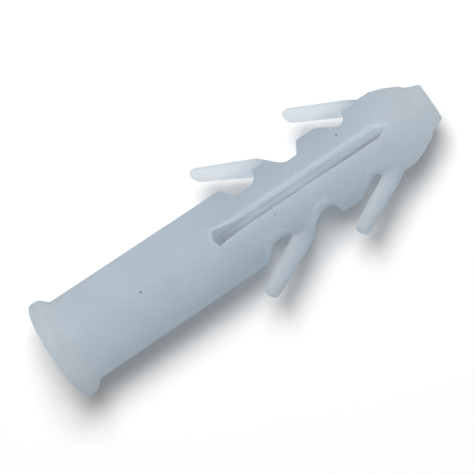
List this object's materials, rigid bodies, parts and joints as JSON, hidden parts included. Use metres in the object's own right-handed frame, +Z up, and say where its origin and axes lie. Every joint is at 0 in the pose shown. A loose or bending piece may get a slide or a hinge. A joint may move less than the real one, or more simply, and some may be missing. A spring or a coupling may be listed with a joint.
{
  "type": "wall anchor",
  "caption": "Collared plastic wall anchor: a tubular sleeve leads to hinged jaws that spread as a screw is driven in, with sprung locking tongues and a tapered nose.",
  "frame": {"origin": "centre of the bounding box at its bottom, on the surface that the collar's rim rests on", "axes": "+X from the collar to the nose along the plug's axis, +Y towards the left jaw, +Z up, with the tongues in the horizontal plane"},
  "size_m": [0.05, 0.0168, 0.0121],
  "materials": {
    "shell": "translucent natural polyethylene, waxy satin",
    "jaw": "translucent natural polyethylene, waxy satin",
    "head": "translucent natural polyethylene, waxy satin",
    "tongue": "thin translucent natural polyethylene, waxy satin"
  },
  "bodies": {
    "shell": {"collar": "shell", "sleeve": "shell"},
    "rear_jaw_left": {"rear_jaw_left": "jaw"},
    "rear_jaw_right": {"rear_jaw_right": "jaw"},
    "front_jaw_left": {"front_jaw_left": "jaw"},
    "front_jaw_right": {"front_jaw_right": "jaw"},
    "head": {"head": "head", "nose": "head"},
    "rear_tongue_left": {"rear_tongue_left": "tongue"},
    "rear_tongue_right": {"rear_tongue_right": "tongue"},
    "front_tongue_left": {"front_tongue_left": "tongue"},
    "front_tongue_right": {"front_tongue_right": "tongue"}
  },
  "joints": [
    {"name": "jaw_expand", "type": "hinge", "parent": "shell", "child": "rear_jaw_left", "pos_m": [0.0028, 0.00202, 0.00605], "axis": [0, 0, 1], "range_deg": [0, 8], "stiffness_Nm_per_rad": 0.02},
    {"name": "waist_left", "type": "hinge", "parent": "rear_jaw_left", "child": "front_jaw_left", "pos_m": [0.0091, 0.00202, 0.00605], "axis": [0, 0, 1], "range_deg": [-16, 0]},
    {"name": "head_follow", "type": "hinge", "parent": "front_jaw_left", "child": "head", "pos_m": [0.0154, 0.00202, 0.00605], "axis": [0, 0, 1], "range_deg": [0, 8]},
    {"name": "jaw_expand_right", "type": "hinge", "parent": "shell", "child": "rear_jaw_right", "pos_m": [0.0028, -0.00202, 0.00605], "axis": [0, 0, -1], "range_deg": [0, 8]},
    {"name": "waist_right", "type": "hinge", "parent": "rear_jaw_right", "child": "front_jaw_right", "pos_m": [0.0091, -0.00202, 0.00605], "axis": [0, 0, -1], "range_deg": [-16, 0]},
    {"name": "rear_tongue_left_fold", "type": "hinge", "parent": "rear_jaw_left", "child": "rear_tongue_left", "pos_m": [0.0048, 0.00464, 0.00605], "axis": [0, 0, 1], "range_deg": [0, 10], "stiffness_Nm_per_rad": 0.01},
    {"name": "rear_tongue_right_fold", "type": "hinge", "parent": "rear_jaw_right", "child": "rear_tongue_right", "pos_m": [0.0048, -0.00464, 0.00605], "axis": [0, 0, -1], "range_deg": [0, 10], "stiffness_Nm_per_rad": 0.01},
    {"name": "front_tongue_left_fold", "type": "hinge", "parent": "head", "child": "front_tongue_left", "pos_m": [0.0166, 0.00473, 0.00605], "axis": [0, 0, 1], "range_deg": [0, 6], "stiffness_Nm_per_rad": 0.01},
    {"name": "front_tongue_right_fold", "type": "hinge", "parent": "head", "child": "front_tongue_right", "pos_m": [0.0166, -0.00473, 0.00605], "axis": [0, 0, -1], "range_deg": [0, 6], "stiffness_Nm_per_rad": 0.01}
  ],
  "couplings": [
    {"joint": "waist_left", "follows": "jaw_expand", "ratio": -2},
    {"joint": "head_follow", "follows": "jaw_expand", "ratio": 1},
    {"joint": "jaw_expand_right", "follows": "jaw_expand", "ratio": 1},
    {"joint": "waist_right", "follows": "jaw_expand", "ratio": -2}
  ]
}
